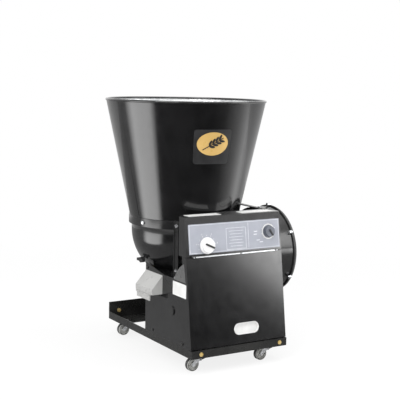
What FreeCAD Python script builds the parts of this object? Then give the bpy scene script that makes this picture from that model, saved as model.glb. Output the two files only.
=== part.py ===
import FreeCAD, Part
import os
from math import asin, atan2, cos, degrees, hypot, radians, sin, sqrt

V = FreeCAD.Vector
X_AXIS = V(1, 0, 0)
Y_AXIS = V(0, 1, 0)
Z_AXIS = V(0, 0, 1)

# Grain huller on castors, in millimetres. While it is drawn, x runs to the right from the
# middle of the base, y to the rear from the base's front edge and z up from the floor.

# Clearances
RUN = 0.05        # radial clearance of a shaft in its hole
PART_GAP = 0.3    # gap between bodies that move past each other
SEAT = 0.1        # gap between fixed pieces that are laid together

# Base and castors
BASE_W = 430
BASE_L = 686
BASE_Z = 62
RAIL_H = 31
REAR_WALL_H = 71
SHEET = 2
WHEEL_R = 25
WHEEL_HUB_R = 8
WHEEL_WEB = 8
WHEEL_RIM = 7
WHEEL_EDGE = 2
WHEEL_W = 20
WHEEL_TRAIL = 22
CASTOR_INSET = 60
CASTOR_PLATE = 56
CASTOR_PLATE_T = 3
KINGPIN_R = 6
SWIVEL_R = 17
SWIVEL_T = 8
FORK_T = 2
AXLE_R = 3
AXLE_HEAD_R = 1.6 * AXLE_R
AXLE_HEAD_T = 2.5
AXLE_OVER = 2
PEDAL_PIN_R = 2.5
PEDAL_PIN_X = 8
PEDAL_PIN_Z = 42
PEDAL_L = 30
PEDAL_T = 6
FORK_GAP = 0.6    # on each side of the wheel
FORK_FRONT = 13   # the fork's legs ahead of and behind the kingpin
FORK_BACK = 14
PAN_SLOT_W = 111
BOLT_R = 8
SCREW_R = 6
SCREW_H = 3

# Cabinet
CABINET_D = 361
FRONT_Y = 5
FRONT_LEAN = 68 / 487
TOP_Z = 338
DOOR_TOP_Z = 434
BOX_TOP_Z = 580
BOX_BACK_Y = 148
BOX_CORNER = 40    # the box's rear corners are cut off beside the hopper
DOOR_T = 14
POST_D = 20
POST_W = 22
PANEL_PEAK = 27    # the left panel's top edge climbs to the rear
PANEL_RAMP = 160
SCREW_INSET = 60
SHOULDER_Y = 20
SHOULDER_Z = 290
SHOULDER_R = 127
HINGE_R = 4
HINGE_INSET = 20
HINGE_BREAK_X = 20
HINGE_BREAK = 6
PLATE_T = 1
PULL_W = 112
PULL_H = 44
PULL_DEPTH = 10
PULL_X = 34
PULL_Z = 150
FEED_DIAL_X = -123
FEED_DIAL_Z = 472
FEED_DIAL_R = 31
AIR_DIAL_X = 157
AIR_DIAL_Z = 506
AIR_DIAL_R = 24
DIAL_T = 16
DIAL_SKIRT = 4
DIAL_TAPER = 0.84
DIAL_PIN_L = 12
DIAL_PIN_R = 4

# Hopper
HOPPER_X = -30
HOPPER_Y = 385
RIM_Z = 999
RIM_R = 316
RIM_ROLL = 5
NECK_R = 219
CONE_BOTTOM_Z = 543
BAND_H = 32
BAND_T = 3
BAND_BOLT_R = 6.5
BAND_BOLT_H = 5
HOPPER_T = 2
FUNNEL_LOW_R = 150
FUNNEL_LOW_Z = TOP_Z + 2
KNOB_RISE = 30    # the cleanout knob's height over the funnel's foot
KNOB_R = 11
KNOB_L = 16
WING_W = 48
WING_T = 10
WING_OUT = 3
FUNNEL_BULGE = 22
FLOOR_T = 3
FLOOR_SLOPE = 0.32
STAY_W = 18
STAY_D = 10
STAY_ANGLES = (-128, -52)
BOLT_ANGLES = (-166, -128, -90, -52, -14, 24, 62, 100, 138)
BRACKET_XS = (-110, 30)
BRACKET_L = 130
BRACKET_H = 48
STRAP_W = 18
STRAP_T = 4
STRAP_FRONT_Y = 200
STRAP_BACK_Y = 345

# Feed duct from the funnel to the eye of the impeller
DUCT_R = 32
DUCT_T = 2
DUCT_DROP = 25
DUCT_REAR = 54    # the duct enters the drum behind and above the shaft
DUCT_RISE = 70
SHUTTER_T = 3
SHUTTER_RUN = 77   # along the duct, from its start in the funnel
SHUTTER_LIFT = 60

# Huller drum on the right side
DRUM_Y = 246
DRUM_Z = 400
DRUM_R = 172
DRUM_W = 78
DRUM_WALL = 3
COVER_R = 178
COVER_T = 17
COVER_LIP = 6
COVER_RECESS = 30
DRUM_BOLT_R = 7
DRUM_BOLT_L = 14
SHAFT_Z = 330
SHAFT_R = 10
IMPELLER_R = 92
IMPELLER_W = 44
LINER_T = 8
BLADES = 6
BEARING_WALL = 14
FAN_BEARING_WALL = 8

# Drive
MOTOR_Y = 520
MOTOR_Z = 185
MOTOR_R = 72
MOTOR_FOOT_T = 8
MOTOR_FOOT_D = 120
SADDLE_D = 90
TERMINAL_W = 80
TERMINAL_D = 56
TERMINAL_RISE = 34
GLAND_R = 9
GLAND_L = 18
GLAND_DROP = 16
MOTOR_L = 150
MOTOR_PULLEY_R = 45
DRUM_PULLEY_R = 36
FAN_PULLEY_R = 40
FAN_DRIVE_R = 36
PULLEY_RIM = 4
BELT_PITCH = 25   # from the motor's belt to the fan's belt
BELT_INSET = 14   # from the cabinet's right face to the fan's belt
BELT_W = 12
BELT_T = 6
PULLEY_W = 20
MOTOR_TO_BELT = 36
MOTOR_FINS = 20
FIN_H = 6
COWL_L = 24
RAIL_X = 60
RAIL_W = 40
RAIL_T = 3
RAIL_TOP = 90

# Winnowing fan
FAN_Y = 150
FAN_Z = 215
FAN_R = 78
FAN_LEFT_GAP = 28
FAN_RIGHT_GAP = 31
FAN_VANES = 8
VANE_H = 42

# Outlets
SPOUT_Y0 = 226
SPOUT_Y1 = 358
SPOUT_TOP_Z = 335
SPOUT_OUT = 46
SPOUT_LIP_Z = 262
SPOUT_FALL = 52
SPOUT_RIM = 10
FLAP_R = 4.5
FLAP_H = 22
FLAP_INSET = 24
HUSK_CLEAR = 10   # room between the husk collar and the motor
HUSK_Z = 205
HUSK_R = 52
HUSK_NECK_R = 51.2   # where the collar passes the rear panel
HUSK_L = 104
HUSK_FLANGE = 16
DAMPER_PIN_R = 3
DAMPER_IN = 10    # how far the damper's spindle stands before the collar's middle


def front_y(z):
    """The leaning front face at height z."""
    return FRONT_Y + FRONT_LEAN * (z - BASE_Z - RAIL_H)


LEAN = degrees(atan2(FRONT_LEAN, 1))
HALF_W = BASE_W / 2
PANEL_BOTTOM = BASE_Z + RAIL_H
SIDE_IN = HALF_W - SHEET
DRUM_OUT_X = HALF_W + DRUM_W + COVER_T
FAN_BELT_X = HALF_W - BELT_INSET
BELT_X = FAN_BELT_X - BELT_PITCH
MOTOR_X1 = BELT_X - MOTOR_TO_BELT
MOTOR_X0 = MOTOR_X1 - MOTOR_L
MOTOR_MID = MOTOR_X0 + MOTOR_L / 2
HUSK_X = MOTOR_X0 - HUSK_CLEAR - HUSK_R

# The part's own frame has its origin on the floor under the middle of its box
RIM_OUT = RIM_R - HOPPER_T / 2 + RIM_ROLL
LOW_X = min(-HALF_W - SPOUT_OUT, HOPPER_X - RIM_OUT)
HIGH_X = max(DRUM_OUT_X, HOPPER_X + RIM_OUT)
LOW_Y = min(-SHEET, HOPPER_Y - RIM_OUT)
HIGH_Y = max(BASE_L, HOPPER_Y + RIM_OUT)
ORIGIN = V((LOW_X + HIGH_X) / 2, (LOW_Y + HIGH_Y) / 2, 0)


def box(x0, x1, y0, y1, z0, z1):
    return Part.makeBox(x1 - x0, y1 - y0, z1 - z0, V(x0, y0, z0))


def rod(r, start, end):
    axis = end - start
    return Part.makeCylinder(r, axis.Length, start, axis)


def tube(r_out, r_in, start, end):
    return rod(r_out, start, end).cut(rod(r_in, start, end))


def plate(points, axis, thickness):
    """A flat plate through a closed run of points, thickened along axis."""
    wire = Part.makePolygon([V(*p) for p in points + points[:1]])
    return Part.Face(wire).extrude(axis * thickness)


def turned(points, centre, axis=Z_AXIS):
    """A solid turned from a profile of (radius, height) points."""
    wire = Part.makePolygon([V(r, 0, h) for r, h in points + points[:1]])
    solid = Part.Face(wire).revolve(V(0, 0, 0), Z_AXIS, 360)
    solid.Placement = FreeCAD.Placement(centre, FreeCAD.Rotation(Z_AXIS, axis))
    return solid


def group(shapes):
    return Part.makeCompound(shapes)


# Base and castors

def base_pan():
    pan = box(-HALF_W, HALF_W, 0, BASE_L, BASE_Z, PANEL_BOTTOM)
    pan = pan.cut(box(-SIDE_IN, SIDE_IN, SHEET, BASE_L - SHEET, BASE_Z + SHEET, PANEL_BOTTOM))
    pan = pan.fuse(box(-HALF_W, HALF_W, BASE_L - SHEET, BASE_L, BASE_Z, BASE_Z + REAR_WALL_H))
    front = CABINET_D + 12
    back = BASE_L - CASTOR_INSET - CASTOR_PLATE
    left = -SIDE_IN + 14
    pan = pan.cut(box(left, left + PAN_SLOT_W, front, back, BASE_Z, BASE_Z + SHEET))
    for x, y in castor_places():
        pan = pan.cut(rod(KINGPIN_R + RUN, V(x, y, BASE_Z), V(x, y, BASE_Z + SHEET)))
    return pan.removeSplitter()


def castor_places():
    xs = (-HALF_W + CASTOR_INSET, HALF_W - CASTOR_INSET)
    ys = (CASTOR_INSET, BASE_L - CASTOR_INSET)
    return [(x, y) for y in ys for x in xs]


def castor_plates():
    half = CASTOR_PLATE / 2
    plates = []
    for x, y in castor_places():
        top = BASE_Z
        flat = box(x - half, x + half, y - half, y + half, top - CASTOR_PLATE_T, top)
        hole = rod(KINGPIN_R + RUN, V(x, y, top - CASTOR_PLATE_T), V(x, y, top))
        plates.append(flat.cut(hole))
    return group(plates)


def castor_fork(x, y, braked):
    top = BASE_Z - CASTOR_PLATE_T - PART_GAP
    low = top - SWIVEL_T
    fork = rod(SWIVEL_R, V(x, y, low), V(x, y, top))
    fork = fork.fuse(rod(KINGPIN_R, V(x, y, top), V(x, y, BASE_Z)))
    inside = WHEEL_W / 2 + FORK_GAP
    wheel_x = x - WHEEL_TRAIL
    boss = AXLE_R * 2.2
    for side in (-1, 1):
        y0 = y + side * inside - (FORK_T if side < 0 else 0)
        heel = PEDAL_PIN_Z - 2 * PEDAL_PIN_R
        leg = plate([(x + FORK_FRONT, y0, low), (x + FORK_FRONT, y0, heel), (x + 3, y0, heel),
                     (wheel_x + boss, y0, WHEEL_R), (wheel_x - boss, y0, WHEEL_R), (x - FORK_BACK, y0, low)],
                    Y_AXIS, FORK_T)
        eye = rod(boss, V(wheel_x, y0, WHEEL_R), V(wheel_x, y0 + FORK_T, WHEEL_R))
        leg = leg.fuse(eye)
        leg = leg.cut(rod(AXLE_R + RUN, V(wheel_x, y0, WHEEL_R), V(wheel_x, y0 + FORK_T, WHEEL_R)))
        if braked:
            pin = V(x + PEDAL_PIN_X, y0, PEDAL_PIN_Z)
            leg = leg.cut(rod(PEDAL_PIN_R + RUN, pin, pin + Y_AXIS * FORK_T))
        fork = fork.fuse(leg)
    return fork.removeSplitter()


def castor_axle(x, y):
    half = WHEEL_W / 2 + FORK_GAP + FORK_T
    wheel_x = x - WHEEL_TRAIL
    out = half + AXLE_OVER
    pin = rod(AXLE_R, V(wheel_x, y - out, WHEEL_R), V(wheel_x, y + out, WHEEL_R))
    for side in (-1, 1):
        start = V(wheel_x, y + side * (half + SEAT), WHEEL_R)
        pin = pin.fuse(rod(AXLE_HEAD_R, start, start + Y_AXIS * side * AXLE_HEAD_T))
    return pin.removeSplitter()


def castor_wheel(x, y):
    half = WHEEL_W / 2
    bore = AXLE_R + RUN
    web = WHEEL_WEB / 2
    rim_in = WHEEL_R - WHEEL_RIM
    edge = WHEEL_R - WHEEL_EDGE
    flat = half - WHEEL_EDGE
    profile = [(bore, -half), (WHEEL_HUB_R, -half), (WHEEL_HUB_R, -web), (rim_in, -web), (rim_in, -half),
               (edge, -half), (WHEEL_R, -flat), (WHEEL_R, flat), (edge, half), (rim_in, half),
               (rim_in, web), (WHEEL_HUB_R, web), (WHEEL_HUB_R, half), (bore, half)]
    return turned(profile, V(x - WHEEL_TRAIL, y, WHEEL_R), Y_AXIS)


def brake_pedal(x, y):
    half = WHEEL_W / 2 - 1
    x0 = x + 3
    low = PEDAL_PIN_Z - PEDAL_T / 2
    knee = x0 + 0.4 * PEDAL_L
    toe = low + 5
    pedal = plate([(x0, y - half, low), (knee, y - half, low), (x0 + PEDAL_L, y - half, toe),
                   (x0 + PEDAL_L, y - half, toe + PEDAL_T / 2), (knee, y - half, low + PEDAL_T),
                   (x0, y - half, low + PEDAL_T)], Y_AXIS, 2 * half)
    reach = WHEEL_W / 2 + FORK_GAP + FORK_T
    pin_x = x + PEDAL_PIN_X
    pin = rod(PEDAL_PIN_R, V(pin_x, y - reach, PEDAL_PIN_Z), V(pin_x, y + reach, PEDAL_PIN_Z))
    return pedal.fuse(pin).removeSplitter()


def base_bolts():
    bolts = []
    for x in (-HALF_W + 41, HALF_W - 33):
        start = V(x, 0, BASE_Z + RAIL_H / 2)
        bolts.append(rod(BOLT_R, start, start - Y_AXIS * SHEET))
    start = V(-HALF_W + 46, BASE_L - SHEET, BASE_Z + RAIL_H)
    bolts.append(rod(BOLT_R, start, start - Y_AXIS * BAND_BOLT_H))
    return group(bolts)


# Cabinet

def side_outline(x, top_points):
    front = front_y(PANEL_BOTTOM) + DOOR_T + SEAT
    return [(x, front, PANEL_BOTTOM), (x, CABINET_D, PANEL_BOTTOM)] + top_points


def left_panel():
    x = -HALF_W
    wall = plate(side_outline(x, [(x, CABINET_D, TOP_Z + PANEL_PEAK), (x, CABINET_D - PANEL_RAMP, TOP_Z),
                                  (x, front_y(TOP_Z) + DOOR_T + SEAT, TOP_Z)]), X_AXIS, SHEET)
    mouth = box(x, x + SHEET, SPOUT_Y0 + SPOUT_RIM, SPOUT_Y1 - SPOUT_RIM, SPOUT_LIP_Z + 4, SPOUT_TOP_Z - 8)
    fan_eye = V(x, FAN_Y, FAN_Z)
    return wall.cut(mouth).cut(rod(SHAFT_R + FAN_BEARING_WALL, fan_eye, fan_eye + X_AXIS * SHEET))


def right_panel():
    x = SIDE_IN
    front = front_y(DOOR_TOP_Z) + DOOR_T + SEAT
    wall = plate(side_outline(x, [(x, CABINET_D, DOOR_TOP_Z), (x, front, DOOR_TOP_Z)]), X_AXIS, SHEET)
    eye = V(x, DRUM_Y, SHAFT_Z)
    fan_eye = V(x, FAN_Y, FAN_Z)
    wall = wall.cut(rod(SHAFT_R + FAN_BEARING_WALL, fan_eye, fan_eye + X_AXIS * SHEET))
    wall = wall.cut(rod(SHAFT_R + BEARING_WALL, eye, eye + X_AXIS * SHEET))
    return wall.cut(duct_rod(DUCT_R + SEAT))


def rear_panel():
    y = CABINET_D - SHEET
    wall = box(-SIDE_IN + SEAT, SIDE_IN - SEAT, y, CABINET_D, PANEL_BOTTOM, TOP_Z)
    husk = V(HUSK_X, y, HUSK_Z)
    wall = wall.cut(rod(HUSK_NECK_R + SEAT, husk, husk + Y_AXIS * SHEET))
    return wall.cut(box(BELT_X - PULLEY_W, BELT_X + PULLEY_W, y, CABINET_D, MOTOR_Z + 20, TOP_Z))


def cabinet_top():
    y0 = front_y(TOP_Z + SHEET) + DOOR_T + POST_D + 2 * SEAT
    top = box(-SIDE_IN + SEAT, SIDE_IN - SEAT, y0, CABINET_D, TOP_Z, TOP_Z + SHEET)
    hole = V(HOPPER_X, HOPPER_Y, TOP_Z)
    top = top.cut(rod(FUNNEL_LOW_R - 14, hole, hole + Z_AXIS * SHEET))
    front = DRUM_Y - DRUM_PULLEY_R - 2 * PULLEY_RIM - PULLEY_W
    slot = box(BELT_X - PULLEY_W, SIDE_IN, front, CABINET_D, TOP_Z, TOP_Z + SHEET)
    return top.cut(slot)


def front_posts():
    posts = []
    for side in (-1, 1):
        xs = sorted((side * (SIDE_IN - SEAT), side * (SIDE_IN - POST_W)))
        y0 = front_y(PANEL_BOTTOM) + DOOR_T + SEAT
        y1 = front_y(DOOR_TOP_Z) + DOOR_T + SEAT
        post = plate([(xs[0], y0, PANEL_BOTTOM), (xs[0], y0 + POST_D, PANEL_BOTTOM),
                      (xs[0], y1 + POST_D, DOOR_TOP_Z), (xs[0], y1, DOOR_TOP_Z)], X_AXIS, xs[1] - xs[0])
        posts.append(post)
    return group(posts)


def side_gusset():
    x = -HALF_W
    rise = TOP_Z + SEAT - SHOULDER_Z
    back = V(x, SHOULDER_Y + sqrt(SHOULDER_R ** 2 - rise ** 2), TOP_Z + SEAT)
    y_front = front_y(DOOR_TOP_Z) + DOOR_T + 1
    front = V(x, y_front, SHOULDER_Z + sqrt(SHOULDER_R ** 2 - (y_front - SHOULDER_Y) ** 2))
    half = radians(50)
    middle = V(x, SHOULDER_Y + SHOULDER_R * cos(half), SHOULDER_Z + SHOULDER_R * sin(half))
    low = V(x, front_y(TOP_Z) + DOOR_T + SEAT, TOP_Z + SEAT)
    edges = [Part.makeLine(low, back), Part.Arc(back, middle, front).toShape(), Part.makeLine(front, low)]
    return Part.Face(Part.Wire(edges)).extrude(X_AXIS * SHEET)


def box_body(inset, low):
    """The control box's leaning body with its rear corners cut off, inset on all sides but below."""
    half = HALF_W - inset
    back = BOX_BACK_Y - inset
    top = BOX_TOP_Z - inset
    corner = BOX_CORNER - (2 - sqrt(2)) * inset
    side = plate([(-half, front_y(low) + inset, low), (-half, back, low), (-half, back, top),
                  (-half, front_y(top) + inset, top)], X_AXIS, 2 * half)
    plan = plate([(-half, 0, low), (half, 0, low), (half, back - corner, low), (half - corner, back, low),
                  (-half + corner, back, low), (-half, back - corner, low)], Z_AXIS, top - low)
    return side.common(plan)


def control_box():
    low = DOOR_TOP_Z + SEAT
    hollow = box_body(SHEET, low)
    case = box_body(0, low).cut(hollow)
    ledge = POST_W + SHEET
    for side in (-1, 1):
        xs = sorted((side * SIDE_IN, side * (SIDE_IN - ledge)))
        foot = box(xs[0], xs[1], front_y(low) + DOOR_T + SHEET, BOX_BACK_Y, low, low + SHEET)
        case = case.fuse(foot.common(hollow))
    for x, z in ((FEED_DIAL_X, FEED_DIAL_Z), (AIR_DIAL_X, AIR_DIAL_Z)):
        case = case.cut(face_rod(DIAL_PIN_R + RUN, x, z, -6, 6))
    return case.removeSplitter()


def face_normal():
    return V(0, -cos(radians(LEAN)), sin(radians(LEAN)))


def face_rod(r, x, z, back, out):
    """A rod square to the leaning front face, from depth back to height out."""
    foot = V(x, front_y(z), z)
    return rod(r, foot + face_normal() * back, foot + face_normal() * out)


def control_plate():
    left = -HALF_W + 14
    right = HALF_W - 6
    low = DOOR_TOP_Z + 9
    high = BOX_TOP_Z - 27
    sheet = plate([(left, front_y(low), low), (right, front_y(low), low), (right, front_y(high), high),
                   (left, front_y(high), high)], face_normal(), PLATE_T)
    for x, z in ((FEED_DIAL_X, FEED_DIAL_Z), (AIR_DIAL_X, AIR_DIAL_Z)):
        sheet = sheet.cut(face_rod(DIAL_PIN_R + RUN, x, z, -2, 3))
    return sheet


def dial(x, z, r):
    skirt = PLATE_T + PART_GAP
    grip = skirt + DIAL_SKIRT
    knob = face_rod(r, x, z, skirt, grip)
    knob = knob.fuse(face_rod(r * DIAL_TAPER, x, z, grip, skirt + DIAL_T))
    return knob.fuse(face_rod(DIAL_PIN_R, x, z, -SHEET - DIAL_PIN_L, skirt)).removeSplitter()


def door_point(x, z, depth):
    return (x, front_y(z) + depth, z)


def front_door():
    low = PANEL_BOTTOM + 2
    high = DOOR_TOP_Z - 2
    wide = HALF_W
    skin = plate([door_point(-wide, low, 0), door_point(-wide, high, 0), door_point(-wide, high, DOOR_T),
                  door_point(-wide, low, DOOR_T)], X_AXIS, BASE_W)
    t = SHEET
    hollow = plate([door_point(-wide + t, low + t, t), door_point(-wide + t, high - t, t),
                    door_point(-wide + t, high - t, DOOR_T), door_point(-wide + t, low + t, DOOR_T)],
                   X_AXIS, BASE_W - 2 * t)
    door = skin.cut(hollow)
    return door.cut(pull_outline(PULL_W + 2 * SEAT, PULL_H + 2 * SEAT, 1, -t - 2)).removeSplitter()


def pull_outline(width, height, out, back):
    """A stadium shape through the door at the pull."""
    r = height / 2
    half = width / 2 - r
    foot = V(PULL_X, front_y(PULL_Z), PULL_Z)
    up = V(0, sin(radians(LEAN)), cos(radians(LEAN)))
    base = foot + face_normal() * back
    left = base - X_AXIS * half
    right = base + X_AXIS * half
    edges = [Part.makeLine(left + up * r, right + up * r),
             Part.Arc(right + up * r, right + X_AXIS * r, right - up * r).toShape(),
             Part.makeLine(right - up * r, left - up * r),
             Part.Arc(left - up * r, left - X_AXIS * r, left + up * r).toShape()]
    return Part.Face(Part.Wire(edges)).extrude(face_normal() * (out - back))


def door_pull():
    wall = 2
    cup = pull_outline(PULL_W, PULL_H, 1, -PULL_DEPTH)
    hollow = pull_outline(PULL_W - 2 * wall, PULL_H - 2 * wall, 2, -PULL_DEPTH + wall)
    return cup.cut(hollow)


def hinge_axis():
    """The door's hinge line lies in front of the joint between door and control box."""
    return V(0, front_y(DOOR_TOP_Z) - HINGE_R - PLATE_T, DOOR_TOP_Z)


def hinge_strip():
    """A barrel with a leaf on the control box, in two lengths."""
    centre = hinge_axis()
    reach = HALF_W - HINGE_INSET
    foot = DOOR_TOP_Z + 1
    top = DOOR_TOP_Z + 8
    barrel = rod(HINGE_R, centre - X_AXIS * reach, centre + X_AXIS * reach)
    leaf = plate([(-reach, front_y(foot) - PLATE_T, foot), (-reach, front_y(top) - PLATE_T, top),
                  (-reach, front_y(top), top), (-reach, front_y(foot), foot)], X_AXIS, 2 * reach)
    web = box(-reach, reach, centre.y, front_y(foot), foot, foot + SHEET)
    strip = barrel.fuse(leaf).fuse(web)
    x0 = HINGE_BREAK_X - HINGE_BREAK / 2
    gap = box(x0, x0 + HINGE_BREAK, centre.y - 2 * HINGE_R, front_y(top), DOOR_TOP_Z - 2 * HINGE_R, top)
    return strip.cut(gap).removeSplitter()


def panel_screws():
    low = PANEL_BOTTOM + 2 * SCREW_R
    lower = ((SCREW_INSET + 10, low), (CABINET_D - SCREW_INSET, low))
    screws = []
    for y, z in lower + ((CABINET_D - 14, TOP_Z + 8),):
        start = V(-HALF_W, y, z)
        screws.append(rod(SCREW_R, start, start - X_AXIS * SCREW_H))
    for y, z in lower:
        start = V(HALF_W, y, z)
        screws.append(rod(SCREW_R, start, start + X_AXIS * SCREW_H))
    return group(screws)


# Hopper

def hopper_cone():
    low = CONE_BOTTOM_Z
    skirt = low - BAND_H / 2
    t = HOPPER_T
    cone = turned([(NECK_R, skirt), (NECK_R, low), (RIM_R, RIM_Z), (RIM_R - t, RIM_Z),
                   (NECK_R - t, low), (NECK_R - t, skirt)], V(HOPPER_X, HOPPER_Y, 0))
    roll = Part.makeTorus(RIM_R - t / 2, RIM_ROLL, V(HOPPER_X, HOPPER_Y, RIM_Z), Z_AXIS)
    return cone.fuse(roll).removeSplitter()


def hopper_band():
    low = CONE_BOTTOM_Z - BAND_H
    r = NECK_R + SEAT
    ring = turned([(r, low), (r + BAND_T, low), (r + BAND_T, CONE_BOTTOM_Z), (r, CONE_BOTTOM_Z)],
                  V(HOPPER_X, HOPPER_Y, 0))
    return ring


def band_point(angle, r, z):
    a = radians(angle)
    return V(HOPPER_X + r * cos(a), HOPPER_Y + r * sin(a), z)


def hopper_bolts():
    z = CONE_BOTTOM_Z - BAND_H / 2
    r = NECK_R + SEAT + BAND_T
    bolts = []
    for a in BOLT_ANGLES:
        foot = r + 2 * SEAT + SHEET if a in STAY_ANGLES else r
        bolts.append(rod(BAND_BOLT_R, band_point(a, foot, z), band_point(a, foot + BAND_BOLT_H, z)))
    strap = V(HALF_W, STRAP_FRONT_Y + BAND_BOLT_R + 2, DRUM_Z + DRUM_R + SEAT + STRAP_T)
    bolts.append(rod(BAND_BOLT_R, strap, strap + Z_AXIS * BAND_BOLT_H))
    return group(bolts)


def funnel_arc(inset):
    """The bulging side of the funnel, moved inwards by inset."""
    high = CONE_BOTTOM_Z - BAND_H
    top_r = NECK_R - 10
    middle_r = (FUNNEL_LOW_R + top_r) / 2 + FUNNEL_BULGE
    foot = V(FUNNEL_LOW_R - inset, 0, FUNNEL_LOW_Z)
    belly = V(middle_r - inset, 0, (high + FUNNEL_LOW_Z) / 2)
    return Part.Arc(foot, belly, V(top_r - inset, 0, high))


def funnel_wall(z):
    """The funnel's outer radius at height z."""
    side = funnel_arc(0).toShape().Curve
    return side.Center.x + sqrt(side.Radius ** 2 - (z - side.Center.z) ** 2)


def lower_funnel():
    mid = CONE_BOTTOM_Z - BAND_H / 2 - SEAT
    t = HOPPER_T

    def side(inset):
        arc = funnel_arc(inset)
        neck = V(NECK_R - inset, 0, arc.EndPoint.z + 6)
        return [arc.toShape(), Part.makeLine(arc.EndPoint, neck), Part.makeLine(neck, V(neck.x, 0, mid))]

    ends = [Part.makeLine(V(NECK_R, 0, mid), V(NECK_R - t, 0, mid)),
            Part.makeLine(V(FUNNEL_LOW_R - t, 0, FUNNEL_LOW_Z), V(FUNNEL_LOW_R, 0, FUNNEL_LOW_Z))]
    wire = Part.Wire(Part.__sortEdges__(side(0) + side(t) + ends))
    shell = Part.Face(wire).revolve(V(0, 0, 0), Z_AXIS, 360)
    shell.translate(V(HOPPER_X, HOPPER_Y, 0))
    return shell.cut(duct_rod(DUCT_R + SEAT))


def feed_heading():
    """Level direction from the hopper's axis to the mouth in the drum."""
    run = V(HALF_W, DRUM_Y + DUCT_REAR, 0) - V(HOPPER_X, HOPPER_Y, 0)
    return run.normalize()


def duct_line():
    """The duct's centre line, from inside the funnel to the right panel."""
    end = V(HALF_W, DRUM_Y + DUCT_REAR, SHAFT_Z + DUCT_RISE)
    level = hypot(end.x - HOPPER_X, end.y - HOPPER_Y) - (FUNNEL_LOW_R - 10)
    start = end - feed_heading() * level + Z_AXIS * DUCT_DROP
    return start, end


def duct_rod(r):
    """A rod along the duct, run on through the walls that the duct meets."""
    start, end = duct_line()
    return rod(r, start, end + (end - start) * 0.5)


def funnel_floor():
    """A sloping floor inside the funnel that leads the grain to the duct."""
    heading = feed_heading()
    across = heading.cross(Z_AXIS)
    reach = NECK_R
    middle = V(HOPPER_X, HOPPER_Y, duct_line()[0].z - DUCT_R + FLOOR_SLOPE * (FUNNEL_LOW_R - 10))
    far = middle - heading * reach + Z_AXIS * (FLOOR_SLOPE * reach)
    near = middle + heading * reach - Z_AXIS * (FLOOR_SLOPE * reach)
    side = across * reach
    wire = Part.makePolygon([far - side, far + side, near + side, near - side, far - side])
    slab = Part.Face(wire).extrude(-Z_AXIS * FLOOR_T)
    arc = funnel_arc(HOPPER_T + PART_GAP)
    low = V(0, 0, arc.StartPoint.z)
    high = V(0, 0, arc.EndPoint.z)
    edges = [arc.toShape(), Part.makeLine(arc.EndPoint, high), Part.makeLine(high, low),
             Part.makeLine(low, arc.StartPoint)]
    core = Part.Face(Part.Wire(edges)).revolve(V(0, 0, 0), Z_AXIS, 360)
    core.translate(V(HOPPER_X, HOPPER_Y, 0))
    return slab.common(core).cut(duct_rod(DUCT_R + SEAT))


def hopper_stays():
    """Channel stays from the band down to the cabinet, and brackets under the rear of the funnel."""
    stays = []
    low_z = TOP_Z + SHEET + SEAT
    high_z = CONE_BOTTOM_Z
    out = NECK_R + SEAT + BAND_T + SEAT
    half = STAY_W / 2
    for angle in STAY_ANGLES:
        a = radians(angle)
        channel = box(0, STAY_D, -half, half, low_z, high_z)
        channel = channel.cut(box(SHEET, STAY_D, SHEET - half, half - SHEET, low_z, high_z))
        channel.rotate(V(0, 0, 0), Z_AXIS, angle)
        channel.translate(V(HOPPER_X + out * cos(a), HOPPER_Y + out * sin(a), 0))
        stays.append(channel)
    wall = CABINET_D + SEAT
    seat = FUNNEL_LOW_Z - SEAT
    for x in BRACKET_XS:
        stays.append(plate([(x - SHEET, wall, seat), (x - SHEET, wall + BRACKET_L, seat),
                            (x - SHEET, wall + BRACKET_L, seat - 8), (x - SHEET, wall, seat - BRACKET_H)],
                           X_AXIS, 2 * SHEET))
    return group(stays + [drum_strap()])


def drum_strap():
    """A flat strap that ties the hopper to the top of the drum."""
    low = DRUM_Z + DRUM_R + SEAT
    high = low + STRAP_T
    x1 = HALF_W + STRAP_W / 2
    strap = box(x1 - STRAP_W, x1, STRAP_FRONT_Y, STRAP_BACK_Y, low, high)
    ear = box(HOPPER_X + NECK_R - STRAP_W, x1, STRAP_BACK_Y - STRAP_W, STRAP_BACK_Y, low, high)
    slope = (RIM_R - NECK_R) / (RIM_Z - CONE_BOTTOM_Z)
    wall = [NECK_R + SEAT + slope * (z - CONE_BOTTOM_Z) for z in (low, high)]
    hopper = turned([(0, low), (wall[0], low), (wall[1], high), (0, high)], V(HOPPER_X, HOPPER_Y, 0))
    return strap.fuse(ear).cut(hopper).removeSplitter()


def cleanout_knob():
    """A wing knob on the left of the funnel's foot."""
    z = FUNNEL_LOW_Z + KNOB_RISE
    r = funnel_wall(z + KNOB_R) + SEAT
    tip = band_point(180, r + KNOB_L, z)
    hub = rod(KNOB_R, band_point(180, r, z), tip)
    half = WING_T / 2
    side = WING_W / 2
    wing = box(tip.x - WING_OUT, tip.x + KNOB_L / 2, tip.y - side, tip.y + side, z - half, z + half)
    return hub.fuse(wing).removeSplitter()


def feed_duct():
    pipe = duct_rod(DUCT_R).cut(duct_rod(DUCT_R - DUCT_T))
    start = duct_line()[0]
    pipe = pipe.common(box(start.x - DUCT_R, HALF_W, DRUM_Y - BASE_W, DRUM_Y + BASE_W, 0, BOX_TOP_Z))
    slot = SHUTTER_T + 2 * PART_GAP
    return pipe.cut(shutter_plate(slot, 0)).cut(shutter_plate(slot, SHUTTER_LIFT))


def shutter_middle():
    start, end = duct_line()
    along = end - start
    return start + along * (SHUTTER_RUN / along.Length)


def shutter_plate(thickness, lift):
    """The shutter's blade square to the duct's level heading, raised by lift."""
    half_w = DUCT_R + 6
    middle = shutter_middle()
    turn = degrees(atan2(feed_heading().y, feed_heading().x))
    blade = box(-thickness / 2, thickness / 2, -half_w, half_w, -DUCT_R - 4, DUCT_R + 4)
    blade.rotate(V(0, 0, 0), Z_AXIS, turn)
    blade.translate(middle + Z_AXIS * lift)
    return blade


def feed_shutter():
    return shutter_plate(SHUTTER_T, 0)


# Huller drum

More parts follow.
